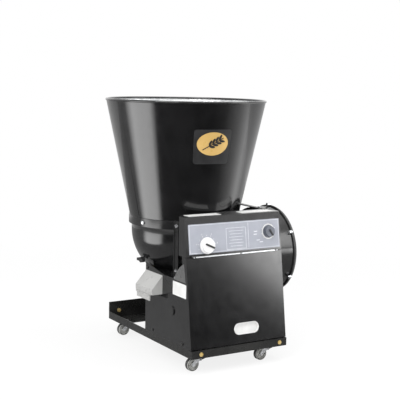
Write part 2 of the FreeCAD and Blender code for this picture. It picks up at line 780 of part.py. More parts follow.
def drum_casing():
    x0 = HALF_W + SEAT
    x1 = HALF_W + DRUM_W
    centre0 = V(x0, DRUM_Y, DRUM_Z)
    shell = rod(DRUM_R, centre0, V(x1, DRUM_Y, DRUM_Z))
    shell = shell.cut(rod(DRUM_R - DRUM_WALL, V(x0 + DRUM_WALL, DRUM_Y, DRUM_Z), V(x1, DRUM_Y, DRUM_Z)))
    eye = V(x0, DRUM_Y, SHAFT_Z)
    shell = shell.cut(rod(SHAFT_R + BEARING_WALL, eye, eye + X_AXIS * DRUM_WALL))
    wall = box(x0, x0 + DRUM_WALL, DRUM_Y - DRUM_R, DRUM_Y + DRUM_R, DRUM_Z - DRUM_R, DRUM_Z + DRUM_R)
    return shell.cut(duct_rod(DUCT_R - DUCT_T).common(wall))


def drum_cover():
    x0 = HALF_W + DRUM_W + SEAT
    lip = COVER_LIP
    crown = COVER_T - SEAT
    recess = DRUM_R - COVER_RECESS
    return turned([(0, lip), (recess, lip), (recess + lip, 0), (COVER_R, 0), (COVER_R, lip - 2),
                   (COVER_R - 4, crown - 4), (COVER_R - 22, crown), (0, crown)],
                  V(x0, DRUM_Y, DRUM_Z), X_AXIS)


def drum_bolts():
    bolts = []
    ring = COVER_R + 2
    for i in range(6):
        a = radians(30 + 60 * i)
        foot = V(HALF_W + DRUM_W, DRUM_Y + ring * cos(a), DRUM_Z + ring * sin(a))
        bolts.append(rod(DRUM_BOLT_R, foot, foot - X_AXIS * DRUM_BOLT_L))
    return group(bolts)


def impeller_place():
    return V(HALF_W + 14, DRUM_Y, SHAFT_Z)


def impeller():
    """A back plate with curved throwing blades round an open eye."""
    foot = impeller_place()
    back = rod(IMPELLER_R, foot + X_AXIS * (IMPELLER_W - 4), foot + X_AXIS * IMPELLER_W)
    hub = rod(SHAFT_R + 12, foot + X_AXIS * 8, foot + X_AXIS * IMPELLER_W)
    wheel = back.fuse(hub)
    inner = SHAFT_R + 10
    for i in range(BLADES):
        bow = Part.Arc(V(0, inner, 0), V(0, (inner + IMPELLER_R) / 2, 12), V(0, IMPELLER_R - 1, 0)).toShape()
        blade = bow.extrude(V(0, 0, 3)).extrude(X_AXIS * (IMPELLER_W - 4))
        blade.rotate(V(0, 0, 0), X_AXIS, 360 * i / BLADES)
        blade.translate(foot)
        wheel = wheel.fuse(blade)
    bore = rod(SHAFT_R, foot, foot + X_AXIS * IMPELLER_W)
    return wheel.cut(bore).removeSplitter()


def drum_liner():
    """A curved wear strip round the lower half of the impeller."""
    foot = impeller_place()
    r = IMPELLER_R + 4
    deep = IMPELLER_W
    ring = Part.makeCylinder(r + LINER_T, deep, foot, X_AXIS).cut(Part.makeCylinder(r, deep, foot, X_AXIS))
    keep = rod(DRUM_R - DRUM_WALL - SEAT, V(foot.x, DRUM_Y, DRUM_Z), V(foot.x + deep, DRUM_Y, DRUM_Z))
    below = box(foot.x, foot.x + deep, DRUM_Y - DRUM_R, DRUM_Y + DRUM_R, DRUM_Z - DRUM_R, SHAFT_Z)
    return ring.common(keep).common(below)


def impeller_shaft():
    start = V(BELT_X - PULLEY_W / 2 - 6, DRUM_Y, SHAFT_Z)
    return rod(SHAFT_R, start, impeller_place() + X_AXIS * (IMPELLER_W + 8))


def grooved_pulley(r, x, y, z, bore):
    half = PULLEY_W / 2
    land = BELT_W / 2 + PART_GAP
    rim = r + PULLEY_RIM
    return turned([(bore, -half), (rim, -half), (rim, -land), (r, -land), (r, land), (rim, land),
                   (rim, half), (bore, half)], V(x, y, z), X_AXIS)


def impeller_pulley():
    inner = V(BELT_X, DRUM_Y, SHAFT_Z)
    outer = V(FAN_BELT_X, DRUM_Y, SHAFT_Z)
    big = grooved_pulley(DRUM_PULLEY_R, inner.x, inner.y, inner.z, SHAFT_R)
    small = grooved_pulley(FAN_DRIVE_R, outer.x, outer.y, outer.z, SHAFT_R)
    hub = tube(SHAFT_R + FAN_BEARING_WALL, SHAFT_R, inner, outer)
    return big.fuse(hub).fuse(small).removeSplitter()


def bearing(x0, x1, y, z, r_out):
    return tube(r_out, SHAFT_R + RUN, V(x0, y, z), V(x1, y, z))


def bearing_units():
    """Flanged bearings that hold the impeller's and the fan's shafts."""
    big = SHAFT_R + BEARING_WALL - RUN
    small = SHAFT_R + FAN_BEARING_WALL - RUN
    proud = 4
    return group([bearing(SIDE_IN, HALF_W + DRUM_WALL, DRUM_Y, SHAFT_Z, big),
                  bearing(-HALF_W - proud, -SIDE_IN, FAN_Y, FAN_Z, small),
                  bearing(SIDE_IN, HALF_W + proud, FAN_Y, FAN_Z, small)])


# Motor and belts

def motor_rails():
    rails = []
    y0 = CABINET_D + SEAT
    y1 = BASE_L - SHEET - SEAT
    low = BASE_Z + SHEET + SEAT
    for x in (MOTOR_MID - RAIL_X, MOTOR_MID + RAIL_X):
        x0 = x - RAIL_W / 2
        x1 = x + RAIL_W / 2
        rail = box(x0, x1, y0, y1, low, RAIL_TOP)
        rails.append(rail.cut(box(x0 + RAIL_T, x1 - RAIL_T, y0, y1, low, RAIL_TOP - RAIL_T)))
    return group(rails)


def motor():
    """A finned casing on a foot, with a fan cowl, a terminal box and its cable gland."""
    start = V(MOTOR_X0, MOTOR_Y, MOTOR_Z)
    end = V(MOTOR_X1, MOTOR_Y, MOTOR_Z)
    body = rod(MOTOR_R, start + X_AXIS * COWL_L, end)
    body = body.fuse(rod(MOTOR_R + 3, start, start + X_AXIS * COWL_L))
    tip = MOTOR_Z + MOTOR_R + FIN_H
    for i in range(MOTOR_FINS):
        angle = 360 * i / MOTOR_FINS
        fin = box(MOTOR_X0 + COWL_L, MOTOR_X1 - 14, MOTOR_Y - 1.5, MOTOR_Y + 1.5, MOTOR_Z + MOTOR_R - 3, tip)
        fin.rotate(start, X_AXIS, angle)
        if abs(angle - 180) > 40:
            body = body.fuse(fin)
    foot_half = RAIL_X + RAIL_W / 2
    foot_top = RAIL_TOP + MOTOR_FOOT_T
    foot_d = MOTOR_FOOT_D / 2
    foot = box(MOTOR_MID - foot_half, MOTOR_MID + foot_half, MOTOR_Y - foot_d, MOTOR_Y + foot_d,
               RAIL_TOP + SEAT, foot_top)
    saddle_d = SADDLE_D / 2
    saddle = box(MOTOR_MID - RAIL_X, MOTOR_MID + RAIL_X, MOTOR_Y - saddle_d, MOTOR_Y + saddle_d,
                 foot_top, MOTOR_Z)
    box_top = MOTOR_Z + MOTOR_R + TERMINAL_RISE
    box_w = TERMINAL_W / 2
    box_d = TERMINAL_D / 2
    terminal = box(MOTOR_MID - box_w, MOTOR_MID + box_w, MOTOR_Y - box_d, MOTOR_Y + box_d, MOTOR_Z, box_top)
    mouth = V(MOTOR_MID, MOTOR_Y + box_d, box_top - GLAND_DROP)
    gland = rod(GLAND_R, mouth, mouth + Y_AXIS * GLAND_L)
    body = body.fuse(saddle).fuse(foot).fuse(terminal).fuse(gland)
    return body.cut(rod(SHAFT_R + RUN, end - X_AXIS * 30, end)).removeSplitter()


def motor_shaft():
    end = V(MOTOR_X1, MOTOR_Y, MOTOR_Z)
    return rod(SHAFT_R, end - X_AXIS * 28, V(BELT_X + PULLEY_W / 2 + 3, MOTOR_Y, MOTOR_Z))


def motor_pulley():
    return grooved_pulley(MOTOR_PULLEY_R, BELT_X, MOTOR_Y, MOTOR_Z, SHAFT_R)


def belt(x, centre_a, r_a, centre_b, r_b):
    """An open belt round two grooves, each centre given as (y, z)."""
    def loop(extra):
        ra = r_a + extra
        rb = r_b + extra
        dy = centre_b[0] - centre_a[0]
        dz = centre_b[1] - centre_a[1]
        span = hypot(dy, dz)
        heading = atan2(dz, dy)
        lean = asin((ra - rb) / span)

        def at(centre, r, a):
            return V(x - BELT_W / 2, centre[0] + r * cos(a), centre[1] + r * sin(a))
        up = heading + radians(90) - lean
        down = heading - radians(90) + lean
        pi = radians(180)
        edges = [Part.makeLine(at(centre_a, ra, up), at(centre_b, rb, up)),
                 Part.Arc(at(centre_b, rb, up), at(centre_b, rb, heading), at(centre_b, rb, down)).toShape(),
                 Part.makeLine(at(centre_b, rb, down), at(centre_a, ra, down)),
                 Part.Arc(at(centre_a, ra, down), at(centre_a, ra, heading + pi),
                          at(centre_a, ra, up)).toShape()]
        return Part.Face(Part.Wire(edges)).extrude(X_AXIS * BELT_W)
    return loop(PART_GAP + BELT_T).cut(loop(PART_GAP))


def drive_belt():
    return belt(BELT_X, (MOTOR_Y, MOTOR_Z), MOTOR_PULLEY_R, (DRUM_Y, SHAFT_Z), DRUM_PULLEY_R)


def fan_belt():
    return belt(FAN_BELT_X, (DRUM_Y, SHAFT_Z), FAN_DRIVE_R, (FAN_Y, FAN_Z), FAN_PULLEY_R)


# Winnowing fan

def fan_rotor():
    x0 = -SIDE_IN + FAN_LEFT_GAP
    x1 = BELT_X - FAN_RIGHT_GAP
    spider = 3
    rotor = rod(SHAFT_R, V(-HALF_W - 4, FAN_Y, FAN_Z), V(HALF_W + 4, FAN_Y, FAN_Z))
    for x in (x0, (x0 + x1) / 2, x1 - spider):
        rotor = rotor.fuse(rod(FAN_R - VANE_H / 2, V(x, FAN_Y, FAN_Z), V(x + spider, FAN_Y, FAN_Z)))
    for i in range(FAN_VANES):
        vane = box(x0, x1, FAN_Y - 1, FAN_Y + 1, FAN_Z + FAN_R - VANE_H, FAN_Z + FAN_R)
        vane.rotate(V(0, FAN_Y, FAN_Z), X_AXIS, 360 * i / FAN_VANES)
        rotor = rotor.fuse(vane)
    return rotor.removeSplitter()


def fan_pulley():
    return grooved_pulley(FAN_PULLEY_R, FAN_BELT_X, FAN_Y, FAN_Z, SHAFT_R)


# Outlets

def rice_spout():
    """A hood on the left panel, open underneath."""
    x = -HALF_W - SEAT
    out = x - SPOUT_OUT + SEAT
    knee = SPOUT_TOP_Z - SPOUT_FALL
    t = SHEET
    y = SPOUT_Y0
    width = SPOUT_Y1 - SPOUT_Y0
    outer = plate([(x, y, SPOUT_TOP_Z), (out, y, knee), (out, y, SPOUT_LIP_Z), (x, y, SPOUT_LIP_Z)],
                  Y_AXIS, width)
    y = SPOUT_Y0 + t
    inner = plate([(x, y, SPOUT_TOP_Z - 1.6 * t), (out + t, y, knee - 0.6 * t), (out + t, y, SPOUT_LIP_Z),
                   (x, y, SPOUT_LIP_Z)], Y_AXIS, width - 2 * t)
    return outer.cut(inner)


def flap_axis():
    return V(-HALF_W - SPOUT_OUT + 6, 0, SPOUT_LIP_Z - 5)


def spout_flap():
    """A bar that hangs under the spout's lip and swings out."""
    pin = flap_axis()
    y0 = SPOUT_Y0 + FLAP_INSET
    y1 = SPOUT_Y1 + SHEET
    bar = rod(FLAP_R, V(pin.x, y0, pin.z), V(pin.x, y1, pin.z))
    blade = box(pin.x - SHEET, pin.x + SHEET, y0 + 2, y1 - 4, pin.z - FLAP_H, pin.z)
    return bar.fuse(blade).removeSplitter()


def damper_post():
    return V(HUSK_X, CABINET_D + HUSK_L / 2 - DAMPER_IN, HUSK_Z)


def husk_outlet():
    start = V(HUSK_X, CABINET_D - SHEET, HUSK_Z)
    face = V(HUSK_X, CABINET_D + SEAT, HUSK_Z)
    end = V(HUSK_X, CABINET_D + HUSK_L, HUSK_Z)
    bore = HUSK_R - SHEET
    neck = tube(HUSK_NECK_R, bore, start, face)
    flange = tube(HUSK_R + HUSK_FLANGE, bore, face, face + Y_AXIS * SHEET)
    pipe = tube(HUSK_R, bore, face, end)
    reach = Z_AXIS * (HUSK_R + 2)
    eyes = rod(DAMPER_PIN_R + RUN, damper_post() - reach, damper_post() + reach)
    return pipe.fuse(flange).fuse(neck).cut(eyes).removeSplitter()


def air_damper():
    """A butterfly disc on an upright spindle, open at rest."""
    post = damper_post()
    disc = rod(HUSK_R - SHEET - 1, post - X_AXIS, post + X_AXIS)
    reach = Z_AXIS * (HUSK_R - 0.5)
    return disc.fuse(rod(DAMPER_PIN_R, post - reach, post + reach)).removeSplitter()


def build():
    nodes = {
        "base_pan": base_pan(),
        "base_bolts": base_bolts(),
        "castor_plates": castor_plates(),
        "front_posts": front_posts(),
        "left_panel": left_panel(),
        "right_panel": right_panel(),
        "rear_panel": rear_panel(),
        "cabinet_top": cabinet_top(),
        "panel_screws": panel_screws(),
        "side_gusset": side_gusset(),
        "control_box": control_box(),
        "control_plate": control_plate(),
        "feed_dial": dial(FEED_DIAL_X, FEED_DIAL_Z, FEED_DIAL_R),
        "air_dial": dial(AIR_DIAL_X, AIR_DIAL_Z, AIR_DIAL_R),
        "front_door": front_door(),
        "door_pull": door_pull(),
        "hinge_strip": hinge_strip(),
        "hopper_cone": hopper_cone(),
        "hopper_band": hopper_band(),
        "hopper_bolts": hopper_bolts(),
        "lower_funnel": lower_funnel(),
        "funnel_floor": funnel_floor(),
        "hopper_stays": hopper_stays(),
        "cleanout_knob": cleanout_knob(),
        "feed_duct": feed_duct(),
        "feed_shutter": feed_shutter(),
        "drum_casing": drum_casing(),
        "drum_cover": drum_cover(),
        "drum_bolts": drum_bolts(),
        "drum_liner": drum_liner(),
        "impeller": impeller(),
        "impeller_shaft": impeller_shaft(),
        "impeller_pulley": impeller_pulley(),
        "bearing_units": bearing_units(),
        "motor_rails": motor_rails(),
        "motor": motor(),
        "motor_shaft": motor_shaft(),
        "motor_pulley": motor_pulley(),
        "drive_belt": drive_belt(),
        "fan_rotor": fan_rotor(),
        "fan_pulley": fan_pulley(),
        "fan_belt": fan_belt(),
        "rice_spout": rice_spout(),
        "spout_flap": spout_flap(),
        "husk_outlet": husk_outlet(),
        "air_damper": air_damper(),
    }
    for corner, (x, y) in zip(("fl", "fr", "rl", "rr"), castor_places()):
        braked = corner in ("fl", "fr")
        nodes["castor_fork_" + corner] = castor_fork(x, y, braked)
        nodes["castor_axle_" + corner] = castor_axle(x, y)
        nodes["castor_wheel_" + corner] = castor_wheel(x, y)
        if braked:
            nodes["brake_pedal_" + corner] = brake_pedal(x, y)
    return nodes


os.makedirs("parts", exist_ok=True)
for name, shape in build().items():
    shape.translate(-ORIGIN)
    shape.exportStep("parts/" + name + ".step")
    print(name, len(shape.Solids), round(shape.Volume), shape.isValid())
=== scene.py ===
from math import atan, cos, pi, radians, sin

import bmesh
import bpy
from mathutils import Matrix, Vector


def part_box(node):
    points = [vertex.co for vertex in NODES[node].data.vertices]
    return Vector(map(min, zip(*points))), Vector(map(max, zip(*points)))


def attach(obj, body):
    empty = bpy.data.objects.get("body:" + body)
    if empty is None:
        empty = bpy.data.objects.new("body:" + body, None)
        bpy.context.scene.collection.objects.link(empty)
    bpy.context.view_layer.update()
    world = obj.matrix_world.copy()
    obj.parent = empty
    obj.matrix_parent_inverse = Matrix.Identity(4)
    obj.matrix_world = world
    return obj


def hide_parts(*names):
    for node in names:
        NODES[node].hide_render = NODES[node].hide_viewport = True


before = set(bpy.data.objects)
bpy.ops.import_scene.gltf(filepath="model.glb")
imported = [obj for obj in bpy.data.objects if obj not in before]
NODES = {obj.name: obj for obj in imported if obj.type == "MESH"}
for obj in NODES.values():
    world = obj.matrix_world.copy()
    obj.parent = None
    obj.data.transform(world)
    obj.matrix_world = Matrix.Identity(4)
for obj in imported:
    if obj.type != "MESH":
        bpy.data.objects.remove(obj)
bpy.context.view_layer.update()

# Camera, fitted to the photograph's right angles and verticals
CAMERA_AT = Vector((-1.982, -3.291, 1.108))
CAMERA_YAW = radians(-31.61)
CAMERA_DOWN = radians(7.5)
CAMERA_ROLL = radians(1.15)
CAMERA_LENS = 87.03
CAMERA_SENSOR = 36.0

# Leaning front face: how far it runs back over its height
FRONT_BACK = 0.068
FRONT_RISE = 0.487
FRONT_LEAN = atan(FRONT_BACK / FRONT_RISE)
FACE_OUT = Vector((0, -cos(FRONT_LEAN), sin(FRONT_LEAN)))
FACE_UP = Vector((0, sin(FRONT_LEAN), cos(FRONT_LEAN)))
ACROSS = Vector((1, 0, 0))
BACK = Vector((0, 1, 0))
UP = Vector((0, 0, 1))

# Hopper
SHELL_T = 0.002
RIM_ROLL = 0.005
BAND_T = 0.003
NECK_Z = 0.543
SEAM_ANGLE = radians(-174.5)
SEAM_W = 0.011
SEAM_T = 0.001
BADGE_ANGLE = radians(-99.5)
BADGE_Z = 0.834
BADGE_W = 0.148
BADGE_H = 0.134
BADGE_CORNER = 0.011
BADGE_T = 0.0012
OVAL_W = 0.124
OVAL_H = 0.090
OVAL_RISE = 0.012
EAR_L = 0.092
EAR_STEM = 0.003
EAR_TURN = radians(30)
GRAIN_ROWS = 4
GRAIN_START = -0.00736
GRAIN_PITCH = 0.0145
GRAIN_L = 0.022
GRAIN_W = 0.0088
GRAIN_LEAN = radians(36)
STAY_ANGLES = (radians(-128), radians(-52))
STAY_BOLT_W = 0.011
STAY_BOLT_T = 0.004
STAY_BOLT_Z = 0.014

# Control plate: places are (across, up) from its middle
PLATE_OUT = 0.0005
MARK_T = 0.0004
LINE_W = 0.0012
BORDER = 0.004
CHART_U = 0.004
CHART_V = -0.008
CHART_W = 0.088
CHART_H = 0.080
CHART_ROWS = 7
CHART_LONG = 0.74
CHART_SHORT = 0.62
DIVIDER_U = 0.060
DIVIDER_SHARE = 0.86
AIR_MARKS = ((0.094, 0.012), (0.092, 0.001), (0.104, -0.022), (0.118, -0.030))
AIR_MARK_W = 0.015
AIR_MARK_H = 0.0026

# Dials
DIAL_FIRST = radians(-135)
DIAL_LAST = radians(135)
FEED_TICKS = 11
AIR_TICKS = 9
TICK_L = 0.006
TICK_W = 0.0013
TICK_GAP = 0.004
TICK_SHORT = 0.6
FIGURES = (2, 4, 6, 8)
FULL_FIGURE = 10
FIGURE_H = 0.007
FIGURE_OUT = 0.00945

# Dial pointers and the air dial's ring, as shares of the dial's radius
POINTER_W = 0.22
POINTER_END = 0.82
POINTER_CORNER = 0.1
FEED_POINTER_L = 1.35
AIR_POINTER_L = 1.2
RING_OUT = 1.24
RING_IN = 1.06
POINTER_T = 0.003
FEED_POINTER_TURN = radians(-115)
AIR_POINTER_TURN = radians(-147)

# Hinge under the control panel
HINGE_R = 0.004
HINGE_BREAK_X = 0.040
HINGE_BREAK = 0.006
STRIP_H = 0.0045
STRIP_T = 0.0008
STRIP_CORNER = 0.00135
STRIP_END = 0.016
RIVET_W = 0.00495
RIVET_T = 0.002

# Blank plates: on the lid as (middle, width), and one on the left panel
BARE_T = 0.0006
BARE_CORNER = 0.002
LID_PLATES = ((-0.096, 0.142), (0.141, 0.148))
LID_PLATE_Y = -0.2465
LID_PLATE_L = 0.042
SIDE_PLATE_W = 0.098
SIDE_PLATE_H = 0.052
SIDE_PLATE_Y = -0.255
SIDE_PLATE_Z = 0.306

# Castor wheels
TREAD_T = 0.005
TREAD_SOFT = 0.0025

# How far a piece stands off the face that it lies on, steps round a full turn, and the angle of a sharp edge
LIFT = 0.0002
ROUND = 144
SHARP = radians(35)

# Share of the floor's own white that the camera sees over its shadow
FLOOR_GLOW = 0.84
FLOOR_NEAR = 1.0
FLOOR_FAR = 2.4

# How bright the floor's reflection is in each direction from the hopper, in degrees
FLOOR_LEVELS = ((-180, 0.75), (-173, 0.70), (-164, 0.012), (-80, 0.006), (-60, 0.03), (-35, 0.16),
                (-15, 0.34), (5, 0.12), (60, 0.04), (125, 0.06), (142, 0.07), (156, 0.75), (180, 0.75))
FLOOR_CARD = 7.0
FLOOR_CARD_Z = 0.004
FLOOR_CARD_GLOW = 6.0
NEAR_LEVEL = 0.35
NEAR_CARD = 2.0
NEAR_CARD_Z = 0.006

# Card that grades the door: levels run from its lower left to its top right
DOOR_AZIMUTH = radians(-56.5)
DOOR_AWAY = 3.2
DOOR_CARD_Z = 0.33
DOOR_CARD_W = 1.2
DOOR_CARD_H = 0.66
DOOR_CARD_TURN = radians(225)
DOOR_CARD_GLOW = 9.0
DOOR_LEVELS = ((0.0, 0.0), (0.35, 0.02), (0.5, 0.05), (0.6, 0.12), (0.75, 0.55), (1.0, 1.0))

# Lamps: name, place, size and watts
LAMP_AIM = Vector((0, 0, 0.55))
LAMPS = (("key", Vector((-2.6, -1.6, 2.6)), 1.8, 70),
         ("top", Vector((0.3, -0.4, 3.2)), 2.4, 60),
         ("fill", Vector((2.6, -2.2, 1.8)), 1.8, 35))
WORLD_FILL = 0.55


def middle(node):
    """The middle of a node's box."""
    low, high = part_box(node)
    return (low + high) / 2


def span(node):
    """The three sizes of a node's box."""
    low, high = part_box(node)
    return high - low


# Materials

def nodes_of(name, colour, rough, metal=0.0, coat=0.0, specular=0.5):
    """A new material with its shader, and the Object coordinates that its patterns read."""
    material = bpy.data.materials.new(name)
    material.use_nodes = True
    tree = material.node_tree
    shader = tree.nodes["Principled BSDF"]
    shader.inputs["Base Color"].default_value = (*colour, 1)
    shader.inputs["Roughness"].default_value = rough
    shader.inputs["Metallic"].default_value = metal
    shader.inputs["Specular IOR Level"].default_value = specular
    shader.inputs["Coat Weight"].default_value = coat
    shader.inputs["Coat Roughness"].default_value = 0.05
    place = tree.nodes.new("ShaderNodeTexCoord")
    return material, tree, shader, place.outputs["Object"]


def stretched(tree, place, scale):
    """Coordinates drawn out along some of their axes."""
    mapping = tree.nodes.new("ShaderNodeMapping")
    mapping.inputs["Scale"].default_value = scale
    tree.links.new(place, mapping.inputs["Vector"])
    return mapping.outputs["Vector"]


def noise(tree, place, scale, detail=3.0):
    """A cloudy pattern."""
    texture = tree.nodes.new("ShaderNodeTexNoise")
    texture.inputs["Scale"].default_value = scale
    texture.inputs["Detail"].default_value = detail
    tree.links.new(place, texture.inputs["Vector"])
    return texture.outputs["Fac"]


def mottle(tree, shader, factor, dark, light, low=0.35, high=0.65):
    """Runs the base colour from dark to light with a pattern."""
    ramp = tree.nodes.new("ShaderNodeValToRGB")
    ramp.color_ramp.elements[0].position = low
    ramp.color_ramp.elements[0].color = (*dark, 1)
    ramp.color_ramp.elements[1].position = high
    ramp.color_ramp.elements[1].color = (*light, 1)
    tree.links.new(factor, ramp.inputs["Fac"])
    tree.links.new(ramp.outputs["Color"], shader.inputs["Base Color"])


def roughen(tree, shader, factor, low, high):
    """Runs the roughness from low to high with a pattern."""
    spread = tree.nodes.new("ShaderNodeMapRange")
    spread.inputs["From Min"].default_value = 0.3
    spread.inputs["From Max"].default_value = 0.7
    spread.inputs["To Min"].default_value = low
    spread.inputs["To Max"].default_value = high
    tree.links.new(factor, spread.inputs["Value"])
    tree.links.new(spread.outputs["Result"], shader.inputs["Roughness"])


def emboss(tree, shader, factor, strength, depth):
    """Raises a pattern a little from the surface."""
    bump = tree.nodes.new("ShaderNodeBump")
    bump.inputs["Strength"].default_value = strength
    bump.inputs["Distance"].default_value = depth
    tree.links.new(factor, bump.inputs["Height"])
    tree.links.new(bump.outputs["Normal"], shader.inputs["Normal"])


def enamel(name, dark, light, rough, coat):
    """Sprayed enamel: a faint cloud of dust, uneven gloss and orange peel."""
    material, tree, shader, place = nodes_of(name, light, rough, coat=coat)
    mottle(tree, shader, noise(tree, place, 9, 6), dark, light)
    roughen(tree, shader, noise(tree, place, 35, 4), rough * 0.8, rough * 1.25)
    emboss(tree, shader, noise(tree, place, 420, 2), 0.05, 0.0002)
    return material


def moulded(name, dark, light, rough, grain=900):
    """Moulded plastic with a fine grain."""
    material, tree, shader, place = nodes_of(name, light, rough)
    mottle(tree, shader, noise(tree, place, 30, 4), dark, light)
    roughen(tree, shader, noise(tree, place, 120, 3), rough * 0.85, rough * 1.2)
    emboss(tree, shader, noise(tree, place, grain, 2), 0.08, 0.0002)
    return material


def plated(name, dark, light, rough, metal=1.0):
    """Plated or turned metal with uneven brightness."""
    material, tree, shader, place = nodes_of(name, light, rough, metal=metal)
    mottle(tree, shader, noise(tree, place, 60, 5), dark, light)
    roughen(tree, shader, noise(tree, place, 240, 3), rough * 0.7, rough * 1.4)
    emboss(tree, shader, noise(tree, place, 700, 2), 0.06, 0.0002)
    return material


def brushed(name, dark, light, rough, scale):
    """Metal brushed along the direction in which scale is small."""
    material, tree, shader, place = nodes_of(name, light, rough, metal=1.0)
    lines = noise(tree, stretched(tree, place, scale), 1.0, 4)
    mottle(tree, shader, lines, dark, light)
    roughen(tree, shader, lines, rough * 0.8, rough * 1.3)
    emboss(tree, shader, lines, 0.1, 0.0002)
    return material


def zinc_spangle(name, dark, light, rough):
    """Galvanised sheet with its crystal pattern."""
    material, tree, shader, place = nodes_of(name, light, rough, metal=0.35)
    cells = tree.nodes.new("ShaderNodeTexVoronoi")
    cells.inputs["Scale"].default_value = 70
    tree.links.new(place, cells.inputs["Vector"])
    tone = tree.nodes.new("ShaderNodeSeparateColor")
    tree.links.new(cells.outputs["Color"], tone.inputs["Color"])
    mottle(tree, shader, tone.outputs["Red"], dark, light, 0.1, 0.9)
    roughen(tree, shader, tone.outputs["Green"], rough * 0.8, rough * 1.2)
    return material


def casting(name, dark, light, rough, metal):
    """Cast metal with a sandy skin."""
    material, tree, shader, place = nodes_of(name, light, rough, metal=metal)
    mottle(tree, shader, noise(tree, place, 40, 6), dark, light)
    roughen(tree, shader, noise(tree, place, 90, 3), rough * 0.85, rough * 1.2)
    emboss(tree, shader, noise(tree, place, 380, 4), 0.35, 0.0005)
    return material


def belt_rubber(name, dark, light, rough):
    """Belt rubber with its woven cover."""
    material, tree, shader, place = nodes_of(name, light, rough, specular=0.3)
    weave = tree.nodes.new("ShaderNodeTexWave")
    weave.bands_direction = "DIAGONAL"
    weave.inputs["Scale"].default_value = 260
    weave.inputs["Distortion"].default_value = 1.5
    tree.links.new(place, weave.inputs["Vector"])
    mottle(tree, shader, weave.outputs["Fac"], dark, light, 0.2, 0.8)
    emboss(tree, shader, weave.outputs["Fac"], 0.3, 0.0004)
    return material


BLACK = enamel("black_enamel", (0.0045, 0.0045, 0.0048), (0.009, 0.009, 0.0095), 0.16, 0.5)
BASE_BLACK = enamel("base_enamel", (0.010, 0.010, 0.0095), (0.020, 0.020, 0.019), 0.28, 0.2)
DRUM_BLACK = enamel("drum_enamel", (0.008, 0.008, 0.008), (0.016, 0.016, 0.0155), 0.22, 0.3)
# Stays and panel screws: satin black enamel painted a lighter grey, a painted sheen that stands in for the
# highlights along the stays' edges
STAY_SATIN_AND_SHEEN = enamel("stay_enamel_and_painted_sheen", (0.022, 0.022, 0.022), (0.036, 0.036, 0.036), 0.30, 0.1)
GUSSET_GREY = enamel("gusset_enamel", (0.07, 0.07, 0.07), (0.11, 0.11, 0.11), 0.30, 0.1)
CHUTE_PALE = enamel("chute_enamel", (0.42, 0.42, 0.41), (0.48, 0.48, 0.47), 0.32, 0.1)
MOTOR_GREY = casting("motor_paint", (0.045, 0.052, 0.06), (0.075, 0.085, 0.095), 0.42, 0.0)
INSIDE_ZINC = zinc_spangle("hopper_zinc", (0.58, 0.59, 0.60), (0.80, 0.81, 0.81), 0.42)
PANEL_GREY = moulded("panel_lavender", (0.335, 0.35, 0.40), (0.365, 0.38, 0.43), 0.36)
PANEL_PRINT = moulded("panel_print", (0.72, 0.73, 0.77), (0.82, 0.83, 0.86), 0.40)
DIAL_WHITE = moulded("dial_white", (0.80, 0.80, 0.80), (0.87, 0.87, 0.87), 0.30)
DIAL_GREY = moulded("dial_grey", (0.10, 0.11, 0.135), (0.14, 0.15, 0.18), 0.32)
PULL_WHITE = moulded("pull_white", (0.70, 0.70, 0.69), (0.79, 0.79, 0.78), 0.34)
PLATE_WHITE = moulded("plate_white", (0.72, 0.72, 0.71), (0.82, 0.82, 0.81), 0.45)
INK = moulded("pointer_black", (0.006, 0.006, 0.006), (0.014, 0.014, 0.014), 0.35)
KNOB_BLACK = moulded("knob_black", (0.012, 0.012, 0.013), (0.026, 0.026, 0.027), 0.42)
BADGE_DARK = moulded("badge_charcoal", (0.014, 0.014, 0.015), (0.022, 0.022, 0.023), 0.45)
NYLON = moulded("wheel_nylon", (0.42, 0.42, 0.40), (0.52, 0.52, 0.50), 0.45)
TREAD = moulded("wheel_tread", (0.055, 0.055, 0.055), (0.085, 0.085, 0.083), 0.62, 500)
URETHANE = moulded("wear_strip", (0.40, 0.25, 0.07), (0.52, 0.35, 0.12), 0.40)
ZINC = plated("bright_zinc", (0.62, 0.63, 0.65), (0.82, 0.83, 0.85), 0.22)
GOLD_ZINC = plated("yellow_zinc", (0.66, 0.46, 0.15), (0.86, 0.66, 0.30), 0.26, 0.5)
CHROME = plated("castor_chrome", (0.70, 0.71, 0.73), (0.88, 0.89, 0.91), 0.16, 0.7)
GOLD_FOIL = enamel("badge_gold", (0.58, 0.37, 0.11), (0.68, 0.45, 0.15), 0.34, 0.2)
STEEL = brushed("turned_steel", (0.42, 0.42, 0.43), (0.62, 0.62, 0.63), 0.32, (40, 900, 900))
TRIM = brushed("hinge_aluminium", (0.66, 0.67, 0.69), (0.82, 0.83, 0.85), 0.28, (15, 900, 900))
COVER_GREY = casting("drum_cover_casting", (0.03, 0.03, 0.03), (0.05, 0.05, 0.05), 0.40, 0.3)
IRON = casting("pulley_iron", (0.07, 0.07, 0.075), (0.13, 0.13, 0.135), 0.48, 0.6)
RUBBER = belt_rubber("belt_rubber", (0.012, 0.012, 0.012), (0.03, 0.03, 0.03), 0.7)

